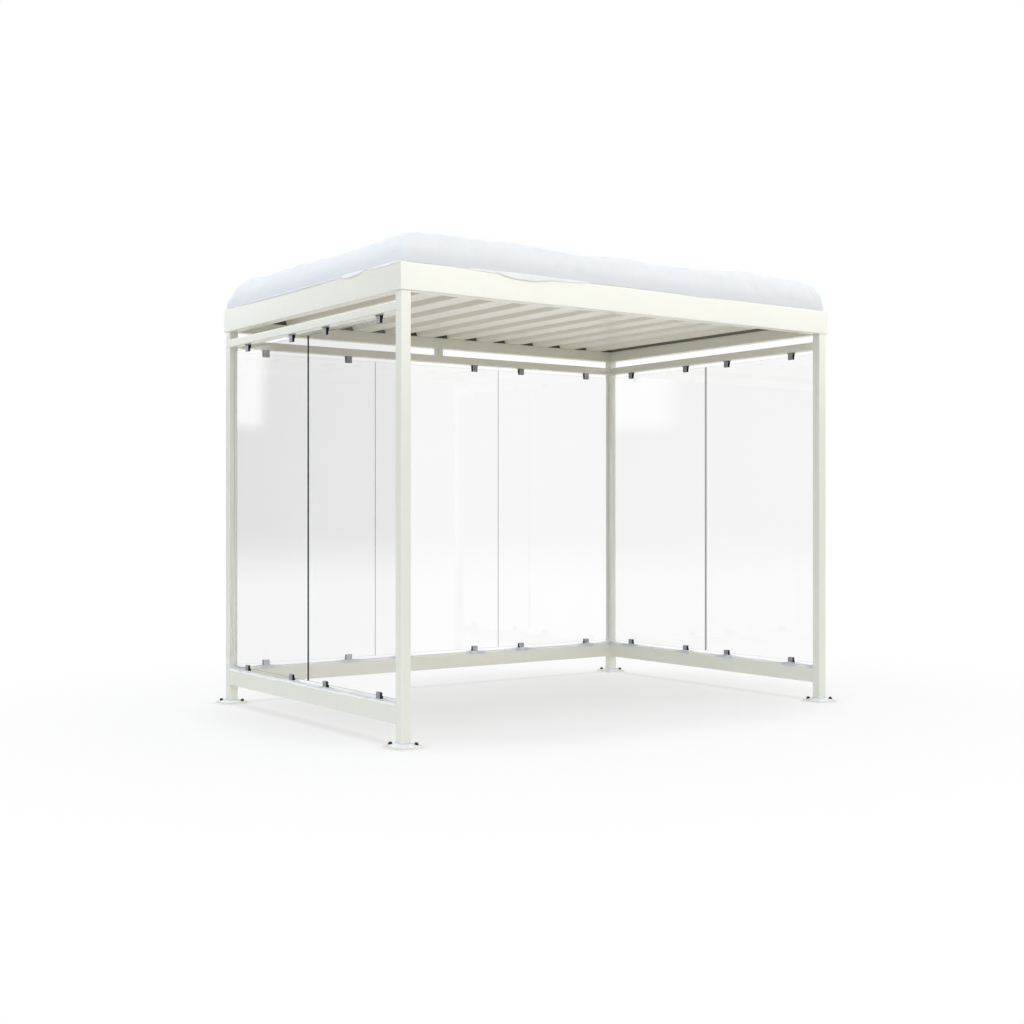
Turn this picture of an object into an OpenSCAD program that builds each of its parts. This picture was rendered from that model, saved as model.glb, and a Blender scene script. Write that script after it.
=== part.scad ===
// Open-fronted glazed shelter: a welded frame of square tube on base plates, a deep fascia
// round a ribbed steel roof, clamped glass on three sides, and a load of snow on the roof.
// X runs along the long side, the open long side faces -Y, and Z is up from the ground.

/* [Overall] */
// Length over the fascia
shelter_w = 3250; // [2600:10:4000]
// Depth over the fascia
shelter_d = 2220; // [1800:10:3000]
// Height from the ground to the top of the fascia
shelter_h = 2550; // [2200:10:3000]

/* [Frame] */
// Side of the square posts and width of every rail
post_size = 60; // [50:1:80]
// Wall of the posts and rails
tube_wall = 3; // [2:0.5:4]
// Radius of the tubes' rounded edges
tube_edge_r = 5; // [4.5:0.5:8]
// Distance from the face of the fascia in to the face of the posts
post_inset = 7.5; // [2:0.5:20]
// Height of the bottom rail
bottom_rail_h = 100; // [60:1:140]
// Space between the ground and the bottom rail
bottom_rail_gap = 120; // [60:1:200]
// Height of the top rail
top_rail_h = 50; // [40:1:80]
// Air gap between the top rail and the fascia
top_gap = 50; // [20:1:120]
// Length along the rail of the short hanger in the back wall
hanger_w = 40; // [20:1:60]

/* [Feet] */
// Side of the square base plates
plate_size = 150; // [130:1:180]
// Thickness of the base plates
plate_t = 10; // [6:1:20]
// Diameter of the holes for the anchor bolts
anchor_hole_d = 14; // [10:1:18]
// Distance from the centre of the post to each hole, in X and in Y
anchor_offset = 50; // [45:1:58]

/* [Fascia] */
// Height of the fascia
fascia_h = 150; // [120:1:200]
// Width of the fascia's underside
fascia_w = 65; // [50:1:90]
// Thickness of the fascia's folded sheet
fascia_t = 3; // [2:0.5:5]
// Height of the upright inner lip that carries the roof sheet
lip_h = 75; // [50:1:90]
// Width of the seat folded outward on the inner lip
seat_w = 40; // [20:1:50]
// Width of the return folded inward along the top edge
top_return = 20; // [10:1:40]

/* [Roof sheet] */
// Thickness of the roof sheet
sheet_t = 1; // [0.7:0.1:3]
// Distance from rib to rib
rib_pitch = 253; // [150:1:300]
// Width of a rib at its open underside
rib_w = 118; // [60:1:140]
// Width of a rib at its top
rib_top_w = 82; // [30:1:100]
// Height of a rib
rib_h = 42; // [25:1:60]
// Overlap of the sheet on the seats at the front and back
sheet_bearing = 25; // [10:1:35]

/* [Glass] */
// Thickness of the glass
glass_t = 8; // [6:1:12]
// Gap between the glass and the rails above and below it
glass_rail_gap = 25; // [15:1:35]
// Gap between the glass and the posts
glass_post_gap = 10; // [4:1:20]
// Gap between neighbouring panels in the back wall
back_joint = 2; // [1:1:16]
// Gap between neighbouring panels in the side walls
side_joint = 12; // [1:1:16]

/* [Clamps] */
// Length of a glass clamp along its rail
clamp_l = 44; // [30:1:60]
// Height of a glass clamp
clamp_h = 45; // [38:1:60]
// Width of a glass clamp across the glass
clamp_w = 20; // [16:1:40]
// Thickness and overhang of the foot under each clamp
clamp_foot = 4; // [2:0.5:6]
// Distance from the end of a panel to the middle of its clamp
clamp_inset = 207; // [100:1:300]

/* [Snow] */
// Depth of the snow above the fascia
snow_depth = 215; // [60:5:300]
// Radius of the rounded upright corners of the snow
snow_corner_r = 60; // [20:5:120]
// Distance that the snow's top draws in from its base
snow_slope = 70; // [20:5:120]
// Distance of the snow's base in from the face of the fascia
snow_setback = 4; // [1:1:30]

/* [Hidden] */

// Clearance between the glass and its clamps, and between the snow and the roof
fit_gap = 0.3;
// Extra length of a cutter past the faces it cuts
cut_over = 5;

paint = "ivory";
metal = "dimgray";
snow_colour = "aliceblue";
glass_colour = [0.85, 0.92, 0.92, 0.35];

half_w = shelter_w / 2;
half_d = shelter_d / 2;
// Centre lines of the posts, which are the centre lines of the walls too
post_x = half_w - post_inset - post_size / 2;
post_y = half_d - post_inset - post_size / 2;
// Clear lengths between the posts
clear_x = 2 * post_x - post_size;
clear_y = 2 * post_y - post_size;

fascia_z = shelter_h - fascia_h;
bottom_rail_top = bottom_rail_gap + bottom_rail_h;
top_rail_z = fascia_z - top_gap - top_rail_h;
seat_z = fascia_z + lip_h;

glass_z0 = bottom_rail_top + glass_rail_gap;
glass_z1 = top_rail_z - glass_rail_gap;
// Number of panels in the back wall and in each side wall
back_panels = 3;
side_panels = 2;

// Length of each of n panels, joint apart, in a wall with the given clear length
function panel_length(clear, n, joint) = (clear - 2 * glass_post_gap - (n - 1) * joint) / n;
// Centre of panel i of n, measured from the middle of the wall
function panel_centre(clear, n, joint, i) =
    (i - (n - 1) / 2) * (panel_length(clear, n, joint) + joint);
// Centres of the clamps of a wall: one near each end of every panel
function clamp_centres(clear, n, joint) = [
    for (i = [0 : n - 1], side = [-1, 1])
        panel_centre(clear, n, joint, i) + side * (panel_length(clear, n, joint) / 2 - clamp_inset)
];

// Rectangle of a by b about the origin, with corners of radius r
module rounded_rectangle(a, b, r) {
    square([a, b - 2 * r], center = true);
    square([a - 2 * r, b], center = true);
    for (x = [r - a / 2, a / 2 - r], y = [r - b / 2, b / 2 - r])
        translate([x, y])
            circle(r = r, $fn = 32);
}

// Section of a rectangular tube of a by b outside
module tube_section(a, b) {
    difference() {
        rounded_rectangle(a, b, tube_edge_r);
        rounded_rectangle(a - 2 * tube_wall, b - 2 * tube_wall, tube_edge_r - tube_wall);
    }
}

// Rectangular tube of section a by b along Z, standing on z = 0
module upright_tube(a, b, length) {
    linear_extrude(length)
        tube_section(a, b);
}

// Rectangular tube along X, its length centred, with its underside on z = 0
module level_tube(length, width, height) {
    translate([-length / 2, 0, height / 2])
        rotate([90, 0, 90])
            linear_extrude(length)
                tube_section(width, height);
}

module base_plate(side_x, side_y) {
    color(paint)
        translate([side_x * post_x, side_y * post_y, 0])
            difference() {
                translate([-plate_size / 2, -plate_size / 2, 0])
                    cube([plate_size, plate_size, plate_t]);
                for (end = [-1, 1])
                    translate([end * anchor_offset, -end * anchor_offset, -cut_over])
                        cylinder(d = anchor_hole_d, h = plate_t + 2 * cut_over, $fn = 48);
            }
}

module post(side_x, side_y) {
    color(paint)
        translate([side_x * post_x, side_y * post_y, plate_t])
            upright_tube(post_size, post_size, fascia_z - plate_t);
}

// Places its children, made along X, in the back wall
module in_back_wall() {
    translate([0, post_y, 0])
        children();
}

// Places its children, made along X, in the left (-1) or right (1) wall
module in_side_wall(side) {
    translate([side * post_x, 0, 0])
        rotate([0, 0, 90])
            children();
}

module bottom_rail(length) {
    color(paint)
        translate([0, 0, bottom_rail_gap])
            level_tube(length, post_size, bottom_rail_h);
}

module top_rail(length) {
    color(paint)
        translate([0, 0, top_rail_z])
            level_tube(length, post_size, top_rail_h);
}

module rail_hanger() {
    color(paint)
        translate([0, post_y, fascia_z - top_gap])
            upright_tube(hanger_w, post_size, top_gap);
}

// Section of the fascia: x is the distance in from its face, y the height above its underside
module fascia_section() {
    // Face
    square([fascia_t, fascia_h]);
    // Underside
    square([fascia_w, fascia_t]);
    // Return along the top edge
    translate([0, fascia_h - fascia_t])
        square([top_return, fascia_t]);
    // Inner lip
    translate([fascia_w - fascia_t, 0])
        square([fascia_t, lip_h]);
    // Seat for the roof sheet
    translate([fascia_w - seat_w, lip_h - fascia_t])
        square([seat_w, fascia_t]);
}

// One side of the fascia with mitred ends, its face at y = -offset, looking towards -Y
module fascia_side(length, offset) {
    color(paint)
        intersection() {
            translate([-length / 2, -offset, fascia_z])
                rotate([90, 0, 90])
                    linear_extrude(length)
                        fascia_section();
            translate([0, -offset, fascia_z - cut_over])
                linear_extrude(fascia_h + 2 * cut_over)
                    polygon([
                        [-length / 2, 0],
                        [length / 2, 0],
                        [length / 2 - fascia_w, fascia_w],
                        [fascia_w - length / 2, fascia_w]
                    ]);
        }
}

// The sheet ends on the seats of the left and right fascia
sheet_half_w = half_w - fascia_w + (sheet_bearing + seat_w) / 2;
sheet_length = shelter_d - 2 * fascia_w + 2 * sheet_bearing;
// As many ribs as fit across the sheet, one of them in the middle
rib_count = 2 * floor((sheet_half_w - rib_w / 2) / rib_pitch) + 1;

// Underside of the roof sheet's section, from left to right, with z measured from the seats
function sheet_line() = [
    [-sheet_half_w, 0],
    for (i = [0 : rib_count - 1])
        let (rib_x = (i - (rib_count - 1) / 2) * rib_pitch)
            each [
                [rib_x - rib_w / 2, 0],
                [rib_x - rib_top_w / 2, rib_h],
                [rib_x + rib_top_w / 2, rib_h],
                [rib_x + rib_w / 2, 0]
            ],
    [sheet_half_w, 0]
];

module roof_sheet() {
    line = sheet_line();
    upper = [for (i = [len(line) - 1 : -1 : 0]) line[i] + [0, sheet_t]];
    color(paint)
        translate([0, sheet_length / 2, seat_z])
            rotate([90, 0, 0])
                linear_extrude(sheet_length)
                    polygon(concat(line, upper));
}

// Rounded rectangle set in from the fascia's face, as a thin slab on height z
module snow_outline(inset, z) {
    reach_x = half_w - inset - snow_corner_r;
    reach_y = half_d - inset - snow_corner_r;
    for (x = [-reach_x, reach_x], y = [-reach_y, reach_y])
        translate([x, y, z])
            cylinder(r = snow_corner_r, h = 1, $fn = 32);
}

module roof_snow() {
    snow_floor = seat_z + rib_h + sheet_t + fit_gap;
    tray_inset = max(fascia_t, top_return) + fit_gap;
    color(snow_colour) {
        // Mound above the fascia
        hull() {
            snow_outline(snow_setback, shelter_h + fit_gap);
            snow_outline(snow_setback + snow_slope / 5, shelter_h + 0.6 * snow_depth);
            snow_outline(snow_setback + snow_slope, shelter_h + snow_depth - 1);
        }
        // Fill between the ribs' tops and the top of the fascia
        translate([tray_inset - half_w, tray_inset - half_d, snow_floor])
            cube([
                shelter_w - 2 * tray_inset,
                shelter_d - 2 * tray_inset,
                shelter_h - snow_floor + 1
            ]);
    }
}

// Panel of the given length along X, centred on x
module glass_panel(x, length) {
    color(glass_colour)
        translate([x - length / 2, -glass_t / 2, glass_z0])
            cube([length, glass_t, glass_z1 - glass_z0]);
}

// Panel i of the back wall, made along X
module back_panel(i) {
    glass_panel(
        panel_centre(clear_x, back_panels, back_joint, i),
        panel_length(clear_x, back_panels, back_joint)
    );
}

// Panel i of a side wall, made along X
module side_panel(i) {
    glass_panel(
        panel_centre(clear_y, side_panels, side_joint, i),
        panel_length(clear_y, side_panels, side_joint)
    );
}

// A clamp standing on z = 0 with its jaw open upward, the glass along X
module clamp() {
    slot_w = glass_t + 2 * fit_gap;
    slot_z = glass_rail_gap - fit_gap;
    difference() {
        union() {
            translate([-clamp_l / 2, -clamp_w / 2, 0])
                cube([clamp_l, clamp_w, clamp_h]);
            translate([-clamp_l / 2 - clamp_foot, -clamp_w / 2 - clamp_foot, 0])
                cube([clamp_l + 2 * clamp_foot, clamp_w + 2 * clamp_foot, clamp_foot]);
        }
        translate([-clamp_l, -slot_w / 2, slot_z])
            cube([2 * clamp_l, slot_w, clamp_h]);
    }
}

back_clamps = clamp_centres(clear_x, back_panels, back_joint);
side_clamps = clamp_centres(clear_y, side_panels, side_joint);

// The clamps on the bottom rail of a wall
module bottom_clamps(centres) {
    color(metal)
        for (x = centres)
            translate([x, 0, bottom_rail_top])
                clamp();
}

// The clamps under the top rail of a wall
module top_clamps(centres) {
    color(metal)
        for (x = centres)
            translate([x, 0, top_rail_z])
                mirror([0, 0, 1])
                    clamp();
}

base_plate(-1, -1);  // base_plate_front_left
base_plate(1, -1);  // base_plate_front_right
base_plate(-1, 1);  // base_plate_back_left
base_plate(1, 1);  // base_plate_back_right
post(-1, -1);  // post_front_left
post(1, -1);  // post_front_right
post(-1, 1);  // post_back_left
post(1, 1);  // post_back_right
in_side_wall(-1) bottom_rail(clear_y);  // bottom_rail_left
in_back_wall() bottom_rail(clear_x);  // bottom_rail_back
in_side_wall(1) bottom_rail(clear_y);  // bottom_rail_right
in_side_wall(-1) top_rail(clear_y);  // top_rail_left
in_back_wall() top_rail(clear_x);  // top_rail_back
in_side_wall(1) top_rail(clear_y);  // top_rail_right
rail_hanger();
fascia_side(shelter_w, half_d);  // fascia_front
rotate([0, 0, 180]) fascia_side(shelter_w, half_d);  // fascia_back
rotate([0, 0, -90]) fascia_side(shelter_d, half_w);  // fascia_left
rotate([0, 0, 90]) fascia_side(shelter_d, half_w);  // fascia_right
roof_sheet();
roof_snow();
in_side_wall(-1) side_panel(0);  // glass_left_front
in_side_wall(-1) side_panel(1);  // glass_left_back
in_side_wall(1) side_panel(0);  // glass_right_front
in_side_wall(1) side_panel(1);  // glass_right_back
in_back_wall() back_panel(0);  // glass_back_left
in_back_wall() back_panel(1);  // glass_back_middle
in_back_wall() back_panel(2);  // glass_back_right
in_side_wall(-1) top_clamps(side_clamps);  // clamps_left_top
in_side_wall(-1) bottom_clamps(side_clamps);  // clamps_left_bottom
in_side_wall(1) top_clamps(side_clamps);  // clamps_right_top
in_side_wall(1) bottom_clamps(side_clamps);  // clamps_right_bottom
in_back_wall() top_clamps(back_clamps);  // clamps_back_top
in_back_wall() bottom_clamps(back_clamps);  // clamps_back_bottom
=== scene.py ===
"""Looks for the glazed shelter: painted steel, clear glass, glass clamps, anchor nuts and snow.

Everything is in metres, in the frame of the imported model.
"""

import math

import bmesh  # noqa: E402
import bpy  # noqa: E402
from mathutils import Matrix, Vector, noise  # noqa: E402


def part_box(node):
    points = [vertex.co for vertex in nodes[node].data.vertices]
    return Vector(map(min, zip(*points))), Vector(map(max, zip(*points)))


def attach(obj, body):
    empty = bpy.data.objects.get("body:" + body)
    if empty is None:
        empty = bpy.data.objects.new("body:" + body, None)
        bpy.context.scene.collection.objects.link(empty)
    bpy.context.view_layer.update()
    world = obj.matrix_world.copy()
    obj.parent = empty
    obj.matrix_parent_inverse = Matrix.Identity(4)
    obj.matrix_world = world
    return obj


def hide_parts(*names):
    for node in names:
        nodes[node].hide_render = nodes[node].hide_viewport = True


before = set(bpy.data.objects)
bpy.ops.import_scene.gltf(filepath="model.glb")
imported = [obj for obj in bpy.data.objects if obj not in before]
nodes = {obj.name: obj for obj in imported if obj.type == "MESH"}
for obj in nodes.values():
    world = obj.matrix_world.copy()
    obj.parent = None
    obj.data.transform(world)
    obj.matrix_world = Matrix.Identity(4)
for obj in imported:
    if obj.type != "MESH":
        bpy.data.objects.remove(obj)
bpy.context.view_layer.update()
scene = bpy.context.scene

# ---------------------------------------------------------------- sizes from the frame
post_lo, post_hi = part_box("post_front_left")
POST = post_hi.x - post_lo.x  # a post's side, and the rails' width
post_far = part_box("post_back_right")[0]
POST_X = (post_far.x - post_lo.x) / 2
POST_Y = (post_far.y - post_lo.y) / 2
PLATE_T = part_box("base_plate_front_left")[1].z
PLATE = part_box("base_plate_front_left")[1].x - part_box("base_plate_front_left")[0].x
RAIL_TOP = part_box("bottom_rail_back")[1].z
TOP_RAIL_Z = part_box("top_rail_back")[0].z
EAVES_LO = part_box("fascia_front")[0]
EAVES_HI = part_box("fascia_back")[1]
EAVES_X, EAVES_Y = EAVES_HI.x, EAVES_HI.y
GLASS_LO, GLASS_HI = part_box("glass_back_left")
GLASS_T = GLASS_HI.y - GLASS_LO.y
SNOW_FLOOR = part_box("roof_snow")[0].z
TUBE_R = 0.005  # rounded edge of the posts and rails

FEET = {  # name: middle of the base plate's top
    f"{end}_{side}": Vector((x * POST_X, y * POST_Y, PLATE_T))
    for x, side in ((-1, "left"), (1, "right"))
    for y, end in ((-1, "front"), (1, "back"))
}
WALLS = {  # name: (turn about Z in degrees, middle of the wall on plan, clear length)
    "left": (90, Vector((-POST_X, 0, 0)), 2 * POST_Y - POST),
    "back": (0, Vector((0, POST_Y, 0)), 2 * POST_X - POST),
    "right": (90, Vector((POST_X, 0, 0)), 2 * POST_Y - POST),
}


def wall_matrix(wall):
    """From a wall's own axes (X along it, Y across it) to the frame."""
    turn, place, _ = WALLS[wall]
    return Matrix.Translation(place) @ Matrix.Rotation(math.radians(turn), 4, "Z")


# ---------------------------------------------------------------- material helpers
class Graph:
    """Short calls for building a node tree."""

    def __init__(self, owner):
        owner.use_nodes = True
        self.tree = owner.node_tree
        self.tree.nodes.clear()

    def node(self, kind, **inputs):
        """A node; each input is a number, a colour or another node's output."""
        made = self.tree.nodes.new(kind)
        for key, value in inputs.items():
            self.put(made.inputs[key.replace("_", " ")], value)
        return made

    def put(self, socket, value):
        """Links an output to the socket, or sets a plain value on it."""
        if isinstance(value, bpy.types.NodeSocket):
            self.tree.links.new(value, socket)
        else:
            socket.default_value = value

    def math(self, operation, *values, clamp=False):
        made = self.tree.nodes.new("ShaderNodeMath")
        made.operation = operation
        made.use_clamp = clamp
        for socket, value in zip(made.inputs, values):
            self.put(socket, value)
        return made.outputs[0]

    def ramp(self, value, low, high, to_low=0.0, to_high=1.0):
        """A smooth step of value from low to high."""
        made = self.tree.nodes.new("ShaderNodeMapRange")
        made.interpolation_type = "SMOOTHSTEP"
        for socket, number in zip(made.inputs, (value, low, high, to_low, to_high)):
            self.put(socket, number)
        return made.outputs[0]

    def mix(self, factor, a, b):
        made = self.tree.nodes.new("ShaderNodeMix")
        made.data_type = "RGBA"
        colours = [s for s in made.inputs if s.type == "RGBA"]
        self.put(made.inputs[0], factor)
        self.put(colours[0], a)
        self.put(colours[1], b)
        return next(s for s in made.outputs if s.type == "RGBA")

    def vector_math(self, operation, *values, output="Vector"):
        made = self.tree.nodes.new("ShaderNodeVectorMath")
        made.operation = operation
        for socket, value in zip(made.inputs, values):
            self.put(socket, value)
        return made.outputs[output]

    def scaled(self, colour, value):
        """A colour times a number, which may be above one."""
        made = self.tree.nodes.new("ShaderNodeVectorMath")
        made.operation = "SCALE"
        self.put(made.inputs[0], colour)
        self.put(made.inputs["Scale"], value)
        return made.outputs[0]

    def mix_shaders(self, factor, a, b):
        made = self.tree.nodes.new("ShaderNodeMixShader")
        for socket, value in zip(made.inputs, (factor, a, b)):
            self.put(socket, value)
        return made.outputs[0]

    def noise(self, vector, scale, detail=2.0, roughness=0.5):
        made = self.tree.nodes.new("ShaderNodeTexNoise")
        self.put(made.inputs["Vector"], vector)
        made.inputs["Scale"].default_value = scale
        made.inputs["Detail"].default_value = detail
        made.inputs["Roughness"].default_value = roughness
        made.inputs["Distortion"].default_value = 0.0
        return made.outputs["Fac"]

    def stretched(self, vector, scale):
        made = self.tree.nodes.new("ShaderNodeMapping")
        self.put(made.inputs["Vector"], vector)
        made.inputs["Scale"].default_value = scale
        return made.outputs[0]

    def bump(self, height, strength, distance, normal=None):
        made = self.tree.nodes.new("ShaderNodeBump")
        self.put(made.inputs["Height"], height)
        made.inputs["Strength"].default_value = strength
        made.inputs["Distance"].default_value = distance
        if normal is not None:
            self.put(made.inputs["Normal"], normal)
        return made.outputs[0]


def mix_out(g, factor, a, b):
    """Puts a mix of two shaders on the output instead of what is there."""
    out = next(n for n in g.tree.nodes if n.type == "OUTPUT_MATERIAL")
    g.put(out.inputs[0], g.mix_shaders(factor, a, b))


def ray_kinds(g):
    """Whether a ray comes straight or through glass from the camera, and whether by a gloss."""
    path = g.node("ShaderNodeLightPath").outputs
    glossed = g.math("MINIMUM", path["Glossy Depth"], 1.0)
    unscattered = g.math("SUBTRACT", 1.0, g.math("MINIMUM", path["Diffuse Depth"], 1.0))
    through = g.math("MULTIPLY", path["Is Transmission Ray"], unscattered)
    sheen = g.math("MULTIPLY", path["Is Glossy Ray"], unscattered)
    by_gloss = g.math("MAXIMUM", sheen, g.math("MULTIPLY", through, glossed))
    unmet = g.math("MULTIPLY", through, g.math("SUBTRACT", 1.0, glossed))
    straight = g.math("MAXIMUM", path["Is Camera Ray"], unmet)
    return straight, by_gloss


def material(name):
    """A material with a Principled shader on its output: (material, graph, shader)."""
    made = bpy.data.materials.new(name)
    g = Graph(made)
    shader = g.node("ShaderNodeBsdfPrincipled")
    out = g.node("ShaderNodeOutputMaterial")
    g.tree.links.new(shader.outputs[0], out.inputs[0])
    return made, g, shader


def rgb(*colour):
    """A linear colour with full alpha."""
    return (*colour, 1.0)


# ---------------------------------------------------------------- materials
PILE_SHADE_ATTR = "pile_shade"  # vertex value on the snow of the rails and feet: how much painted shade it gets where heaped, 0 to 1
# Colour of the painted shade on heaped snow, standing in for the shade on the heaps' slopes
PILE_PAINTED_SHADE = rgb(0.58, 0.635, 0.70)
SNOW_FOOT_SHADE_H = 0.11  # how high the painted grey shade at the foot of the roof's snow reaches
SNOW_DEPTH, CRUST_DEPTH = 0.02, 0.003  # how far light goes into deep and into thin snow


def make_paint(name, light, dark, gloss):
    """Powder-coated steel: soft tone changes, fine orange peel and a faint grime film."""
    made, g, shader = material(name)
    place = g.node("ShaderNodeTexCoord").outputs["Object"]
    broad = g.noise(place, 1.7, 4.0, 0.6)
    grime = g.noise(g.stretched(place, (6.0, 6.0, 1.3)), 3.0, 5.0, 0.65)
    tone = g.math("ADD", g.math("MULTIPLY", broad, 0.6), g.math("MULTIPLY", grime, 0.4))
    g.put(shader.inputs["Base Color"], g.mix(g.ramp(tone, 0.36, 0.64), light, dark))
    rough = g.noise(place, 22.0, 4.0, 0.6)
    g.put(shader.inputs["Roughness"], g.ramp(rough, 0.3, 0.7, gloss - 0.02, gloss + 0.03))
    peel = g.noise(place, 420.0, 2.0, 0.5)
    waves = g.noise(place, 5.0, 1.0, 0.5)
    normal = g.bump(peel, 0.05, 0.0003)
    g.put(shader.inputs["Normal"], g.bump(waves, 0.03, 0.0008, normal))
    return made


def make_snow(name, light, dark, lumps, depth, foot=None):
    """Settled snow: soft light under the surface, low lumps, a fine grain, and painted shade on
    heaps and, if asked, at its foot.
    """
    made, g, shader = material(name)
    place = g.node("ShaderNodeTexCoord").outputs["Object"]
    broad = g.noise(place, 3.2, 4.0, 0.55)
    fine = g.noise(place, 60.0, 3.0, 0.6)
    streaks = g.noise(g.stretched(place, (14.0, 14.0, 1.5)), 1.0, 3.0, 0.5)
    tone = g.math("ADD", g.math("MULTIPLY", broad, 0.45), g.math("MULTIPLY", fine, 0.2))
    tone = g.math("ADD", tone, g.math("MULTIPLY", streaks, 0.35))
    # A painted bluish shade where the mesh says that snow has piled up, standing in for the shade
    # on the heaps' slopes
    pile_shade = g.node("ShaderNodeAttribute")
    pile_shade.attribute_name = PILE_SHADE_ATTR
    colour = g.mix(pile_shade.outputs["Fac"], g.mix(g.ramp(tone, 0.35, 0.65), dark, light), PILE_PAINTED_SHADE)
    if foot:  # painted shade: greyer towards the foot, where it meets the fascia
        height = g.node("ShaderNodeSeparateXYZ", Vector=place).outputs["Z"]
        over = g.ramp(height, EAVES_HI.z - 0.01, EAVES_HI.z + SNOW_FOOT_SHADE_H)
        colour = g.mix(over, foot, colour)
    g.put(shader.inputs["Base Color"], colour)
    g.put(shader.inputs["Roughness"], g.ramp(fine, 0.3, 0.7, 0.55, 0.75))
    shader.inputs["Subsurface Weight"].default_value = 0.25
    shader.inputs["Subsurface Radius"].default_value = (0.6, 0.8, 1.0)
    shader.inputs["Subsurface Scale"].default_value = depth
    shader.inputs["Specular IOR Level"].default_value = 0.1
    low = g.bump(g.noise(place, 34.0, 4.0, 0.6), lumps, 0.006)
    g.put(shader.inputs["Normal"], g.bump(g.noise(place, 520.0, 2.0, 0.6), 0.12, 0.0008, low))
    return made


def make_glass():
    """Clear float glass that lets lamps through."""
    made, g, shader = material("glass_clear")
    place = g.node("ShaderNodeTexCoord").outputs["Object"]
    film = g.noise(place, 1.4, 3.0, 0.5)
    g.put(
        shader.inputs["Base Color"],
        g.mix(g.ramp(film, 0.3, 0.7), rgb(0.988, 0.989, 0.988), rgb(0.980, 0.982, 0.981)),
    )
    shader.inputs["Roughness"].default_value = 0.0
    shader.inputs["IOR"].default_value = 1.5
    shader.inputs["Transmission Weight"].default_value = 1.0
    ripple = g.noise(place, 2.2, 1.0, 0.4)
    g.put(shader.inputs["Normal"], g.bump(ripple, 0.05, 0.002))
    clear = g.node("ShaderNodeBsdfTransparent", Color=rgb(0.96, 0.96, 0.96))
    shadow = g.node("ShaderNodeLightPath").outputs["Is Shadow Ray"]
    mix_out(g, shadow, shader.outputs[0], clear.outputs[0])
    return made


def make_plain(name, light, dark, rough, metal=0.0, scale=(40.0, 40.0, 40.0), shine=0.5):
    """Metal or rubber: two close tones, and a grain that the scale stretches."""
    made, g, shader = material(name)
    place = g.node("ShaderNodeTexCoord").outputs["Object"]
    lines = g.noise(g.stretched(place, scale), 8.0, 3.0, 0.6)
    g.put(shader.inputs["Base Color"], g.mix(g.ramp(lines, 0.3, 0.7), light, dark))
    g.put(shader.inputs["Roughness"], g.ramp(lines, 0.25, 0.75, rough - 0.06, rough + 0.08))
    shader.inputs["Metallic"].default_value = metal
    shader.inputs["Specular IOR Level"].default_value = shine
    g.put(shader.inputs["Normal"], g.bump(lines, 0.2, 0.0003))
    return made


def make_edge(name, clear_inside):
    """Ground edge of a pane, painted near-black for the dark look that a pane's edge gets from
    light inside the glass; clear to rays inside the glass if asked.
    """
    made, g, shader = material(name)
    place = g.node("ShaderNodeTexCoord").outputs["Object"]
    grind = g.noise(g.stretched(place, (6.0, 6.0, 1.0)), 60.0, 3.0, 0.6)
    tone = g.mix(g.ramp(grind, 0.3, 0.7), rgb(0.008, 0.010, 0.010), rgb(0.014, 0.017, 0.017))
    g.put(shader.inputs["Base Color"], tone)
    g.put(shader.inputs["Roughness"], g.ramp(grind, 0.25, 0.75, 0.45, 0.60))
    shader.inputs["Specular IOR Level"].default_value = 0.10
    if clear_inside:
        inside = g.node("ShaderNodeNewGeometry").outputs["Backfacing"]
        mix_out(g, inside, shader.outputs[0], g.node("ShaderNodeBsdfTransparent").outputs[0])
    return made


PAINT = make_paint("paint_steel", rgb(0.820, 0.825, 0.752), rgb(0.805, 0.810, 0.737), 0.24)
# The roof sheet's paint is lighter than the steel's, which paints light onto the shaded underside
# of the roof
SHEET_LIT_PAINT = make_paint("paint_sheet_lit", rgb(0.930, 0.915, 0.830), rgb(0.910, 0.895, 0.810), 0.30)
# The roof's snow, with a painted grey shade at its foot
SNOW = make_snow(
    "snow",
    rgb(0.905, 0.925, 0.945),
    rgb(0.86, 0.885, 0.91),
    0.15,
    SNOW_DEPTH,
    foot=rgb(0.80, 0.825, 0.87),
)
CRUST = make_snow("snow_crust", rgb(0.98, 0.98, 0.98), rgb(0.94, 0.95, 0.955), 0.25, CRUST_DEPTH)
GLASS = make_glass()
# Near-black pane edges: painted shade for the dark look of glass edges
EDGE = make_edge("glass_edge", True)
DARK_EDGE = make_edge("glass_edge_dark", False)
METAL = make_plain(
    "clamp_steel", rgb(0.34, 0.35, 0.37), rgb(0.25, 0.26, 0.275), 0.36, 0.4, (60.0, 60.0, 4.0)
)
RUBBER = make_plain(
    "clamp_rubber", rgb(0.008, 0.008, 0.009), rgb(0.014, 0.014, 0.015), 0.7, shine=0.15
)
FOAM = make_plain(
    "closure_foam", rgb(0.090, 0.088, 0.080), rgb(0.120, 0.117, 0.106), 0.9, shine=0.1
)
# A dark strip that paints the shade along the side beams
SIDE_SHADE_STRIP = make_plain("side_shade_strip", rgb(0.190, 0.183, 0.158), rgb(0.230, 0.222, 0.194), 0.9, shine=0.1)
CAPS = make_plain("nut_black", rgb(0.005, 0.005, 0.006), rgb(0.010, 0.010, 0.011), 0.5, shine=0.12)


# ---------------------------------------------------------------- mesh helpers
def piece(name, bm, materials, stands_for=(), sharp=35.0, flats=False):
    """Makes a piece from bm: smooth, but sharp above the angle in degrees. It rides on root."""
    mesh = bpy.data.meshes.new(name)
    bm.to_mesh(mesh)
    bm.free()
    for m in materials:
        mesh.materials.append(m)
    mesh.shade_smooth()
    mesh.set_sharp_from_angle(angle=math.radians(sharp))
    made = bpy.data.objects.new(name, mesh)
    scene.collection.objects.link(made)
    if flats:  # keeps broad faces evenly lit beside their rounded edges
        made.modifiers.new("even_faces", "WEIGHTED_NORMAL").keep_sharp = True
    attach(made, "root")
    if stands_for:
        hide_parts(*stands_for)
    return made


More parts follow.
